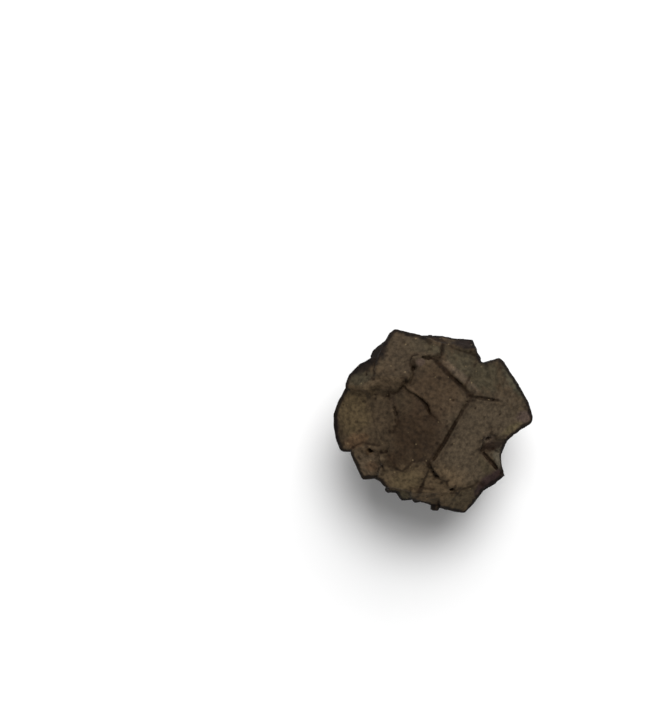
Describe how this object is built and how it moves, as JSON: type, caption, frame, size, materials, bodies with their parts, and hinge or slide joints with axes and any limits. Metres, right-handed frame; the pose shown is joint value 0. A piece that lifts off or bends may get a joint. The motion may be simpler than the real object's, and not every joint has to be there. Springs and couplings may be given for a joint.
{
  "type": "pyrite concretion",
  "caption": "Small rounded rosette of intergrown cubic crystals with flat square faces, a shallow hollow on top and a flat face underneath to rest on.",
  "frame": {"origin": "under the middle of the stone's bounding box, on the flat crystal face that it rests on", "axes": "+Z up, +X along the widest way across the stone, to the right when it is seen from above; +Y up in that view"},
  "size_m": [0.0326, 0.0302, 0.026],
  "materials": {
    "weathered_pyrite": "dull brown weathering skin of iron oxide over pyrite, finely grained"
  },
  "bodies": {
    "root": {"concretion": "weathered_pyrite"}
  },
  "joints": []
}
